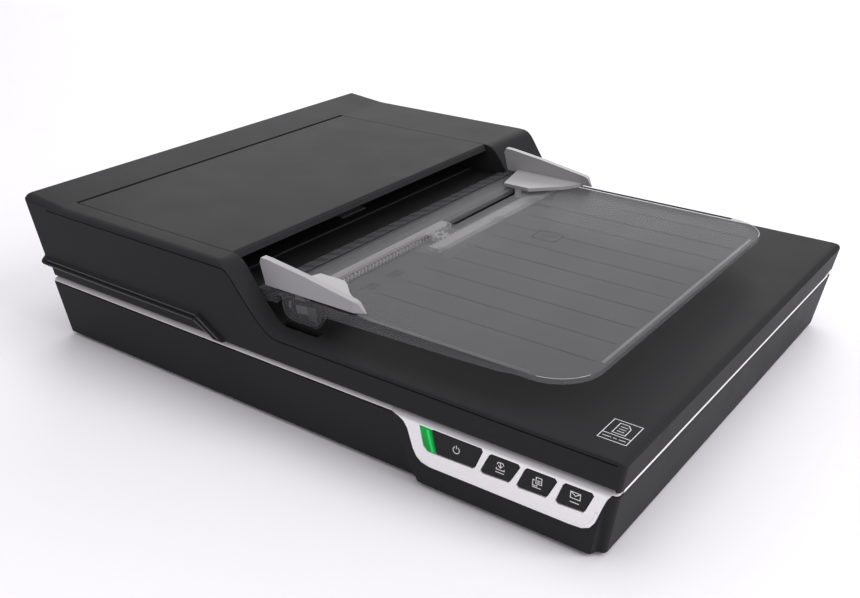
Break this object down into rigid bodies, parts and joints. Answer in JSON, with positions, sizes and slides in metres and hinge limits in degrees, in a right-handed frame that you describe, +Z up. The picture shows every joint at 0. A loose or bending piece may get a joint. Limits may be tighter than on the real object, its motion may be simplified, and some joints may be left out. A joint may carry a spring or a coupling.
{
  "type": "document scanner",
  "caption": "Flatbed document scanner with a sheet feeder in its hinged lid, a smoked input tray with sliding paper guides, and a white-framed button panel on the front.",
  "frame": {"origin": "bottom centre of the whole scanner, on the surface that it stands on", "axes": "+X towards the free end of the input tray (the feeder block is at -X), -Y towards the front with the buttons, +Z up"},
  "size_m": [0.3604, 0.2758, 0.0835],
  "materials": {
    "black_housing": "fine spark-eroded satin black ABS",
    "inner_plastic": "matt black, out of sight",
    "white_plastic": "smooth satin white",
    "white_foam": "white film over foam",
    "smoked_tray": "smoked grey, slightly see-through, fine satin",
    "silver_guide": "silver-grey satin",
    "button_black": "smooth satin black with printed white marks",
    "green_light": "translucent green light guide, lit",
    "platen_glass": "clear float glass",
    "grey_rubber": "matt grey rubber",
    "steel": "plain zinc-plated and ground steel",
    "circuit_board": "green solder resist",
    "white_acetal": "natural white acetal"
  },
  "bodies": {
    "base": {"base_shell": "black_housing", "bed_bezel": "white_plastic", "platen_glass": "platen_glass", "status_light": "green_light", "panel_board": "circuit_board", "main_board": "circuit_board", "guide_rod": "steel", "scan_motor": "steel", "drive_belt": "grey_rubber", "foot_front_left": "grey_rubber", "foot_front_right": "grey_rubber", "foot_rear_left": "grey_rubber", "foot_rear_right": "grey_rubber", "usb_socket": "steel", "power_socket": "inner_plastic", "hinge_leg_left": "steel", "hinge_leg_right": "steel", "hinge_pin_left": "steel", "hinge_pin_right": "steel"},
    "scan_carriage": {"carriage_body": "inner_plastic", "carriage_lens": "platen_glass"},
    "drive_pulley_body": {"drive_pulley": "white_acetal"},
    "idler_pulley_body": {"idler_pulley": "white_acetal"},
    "power_key": {"power_button": "button_black"},
    "scan_key": {"scan_button": "button_black"},
    "copy_key": {"copy_button": "button_black"},
    "mail_key": {"mail_button": "button_black"},
    "lid": {"lid_shell": "black_housing", "lid_underplate": "inner_plastic", "document_pad": "white_foam", "hinge_arm_left": "steel", "hinge_arm_right": "steel", "adf_core": "inner_plastic", "feed_ramp": "smoked_tray", "turn_guide": "inner_plastic", "adf_sensor": "platen_glass", "adf_motor": "steel", "separation_pad": "grey_rubber"},
    "cover": {"adf_cover": "black_housing", "cover_guide": "inner_plastic", "pick_bracket": "inner_plastic"},
    "pick_roller": {"pick_shaft": "steel", "pick_tyre": "grey_rubber"},
    "feed_roller": {"feed_shaft": "steel", "feed_tyre_front": "grey_rubber", "feed_tyre_rear": "grey_rubber", "feed_gear": "white_acetal"},
    "exit_roller": {"exit_shaft": "steel", "exit_tyre_front": "grey_rubber", "exit_tyre_rear": "grey_rubber", "exit_gear": "white_acetal"},
    "motor_pinion": {"motor_gear": "white_acetal"},
    "feed_idler": {"feed_idler_gear": "white_acetal"},
    "exit_idler": {"exit_idler_gear": "white_acetal"},
    "tray": {"input_tray": "smoked_tray", "pinion_cover": "smoked_tray"},
    "front_guide": {"guide_front": "silver_guide"},
    "rear_guide": {"guide_rear": "silver_guide"},
    "pinion": {"guide_pinion": "white_acetal"}
  },
  "joints": [
    {"name": "lid_hinge", "type": "hinge", "parent": "base", "child": "lid", "pos_m": [0.0022, 0.133, 0.0375], "axis": [-1, 0, 0], "range_deg": [0, 75]},
    {"name": "cover_hinge", "type": "hinge", "parent": "lid", "child": "cover", "pos_m": [-0.1493, 0, 0.079], "axis": [0, -1, 0], "range_deg": [0, 75]},
    {"name": "tray_lift", "type": "hinge", "parent": "lid", "child": "tray", "pos_m": [-0.0074, 0, 0.067], "axis": [0, -1, 0], "range_deg": [0, 18]},
    {"name": "front_guide_slide", "type": "slide", "parent": "tray", "child": "front_guide", "axis": [0, 1, 0], "range_m": [0, 0.06]},
    {"name": "rear_guide_slide", "type": "slide", "parent": "tray", "child": "rear_guide", "axis": [0, 1, 0], "range_m": [-0.06, 0]},
    {"name": "pinion_spin", "type": "hinge", "parent": "tray", "child": "pinion", "pos_m": [0.00995, -0.0156, 0.06375], "axis": [0, 0, 1], "range_deg": [-770, 0]},
    {"name": "carriage_slide", "type": "slide", "parent": "base", "child": "scan_carriage", "axis": [1, 0, 0], "range_m": [0, 0.3]},
    {"name": "drive_pulley_spin", "type": "hinge", "parent": "base", "child": "drive_pulley_body", "pos_m": [-0.1588, 0.06, 0.019], "axis": [0, 0, 1], "continuous": true},
    {"name": "idler_pulley_spin", "type": "hinge", "parent": "base", "child": "idler_pulley_body", "pos_m": [0.1632, 0.06, 0.019], "axis": [0, 0, 1], "continuous": true},
    {"name": "power_press", "type": "slide", "parent": "base", "child": "power_key", "axis": [0, 0.9972, -0.0748], "range_m": [0, 0.001], "stiffness_N_per_m": 600, "springref_m": -0.001},
    {"name": "scan_press", "type": "slide", "parent": "base", "child": "scan_key", "axis": [0, 0.9972, -0.0748], "range_m": [0, 0.001], "stiffness_N_per_m": 600, "springref_m": -0.001},
    {"name": "copy_press", "type": "slide", "parent": "base", "child": "copy_key", "axis": [0, 0.9972, -0.0748], "range_m": [0, 0.001], "stiffness_N_per_m": 600, "springref_m": -0.001},
    {"name": "mail_press", "type": "slide", "parent": "base", "child": "mail_key", "axis": [0, 0.9972, -0.0748], "range_m": [0, 0.001], "stiffness_N_per_m": 600, "springref_m": -0.001},
    {"name": "feed_spin", "type": "hinge", "parent": "lid", "child": "feed_roller", "pos_m": [-0.1198, -0.01, 0.0645], "axis": [0, 1, 0], "continuous": true},
    {"name": "exit_spin", "type": "hinge", "parent": "lid", "child": "exit_roller", "pos_m": [-0.03996, -0.01, 0.05507], "axis": [0, 1, 0], "continuous": true},
    {"name": "motor_spin", "type": "hinge", "parent": "lid", "child": "motor_pinion", "pos_m": [-0.0778, 0.1005, 0.0645], "axis": [0, 1, 0], "continuous": true},
    {"name": "feed_idler_spin", "type": "hinge", "parent": "lid", "child": "feed_idler", "pos_m": [-0.0958, 0.1005, 0.0645], "axis": [0, 1, 0], "continuous": true},
    {"name": "exit_idler_spin", "type": "hinge", "parent": "lid", "child": "exit_idler", "pos_m": [-0.0613, 0.1005, 0.06039], "axis": [0, 1, 0], "continuous": true},
    {"name": "pick_spin", "type": "hinge", "parent": "cover", "child": "pick_roller", "pos_m": [-0.0578, -0.0155, 0.0704], "axis": [0, 1, 0], "continuous": true}
  ],
  "couplings": [
    {"joint": "rear_guide_slide", "follows": "front_guide_slide", "ratio": -1},
    {"joint": "pinion_spin", "follows": "front_guide_slide", "rad_per_m": -222.22},
    {"joint": "drive_pulley_spin", "follows": "carriage_slide", "rad_per_m": 166.67},
    {"joint": "idler_pulley_spin", "follows": "carriage_slide", "rad_per_m": 166.67},
    {"joint": "feed_idler_spin", "follows": "feed_spin", "ratio": -1},
    {"joint": "motor_spin", "follows": "feed_spin", "ratio": 2},
    {"joint": "exit_idler_spin", "follows": "feed_spin", "ratio": -1.0909},
    {"joint": "exit_spin", "follows": "feed_spin", "ratio": 1.0909}
  ]
}
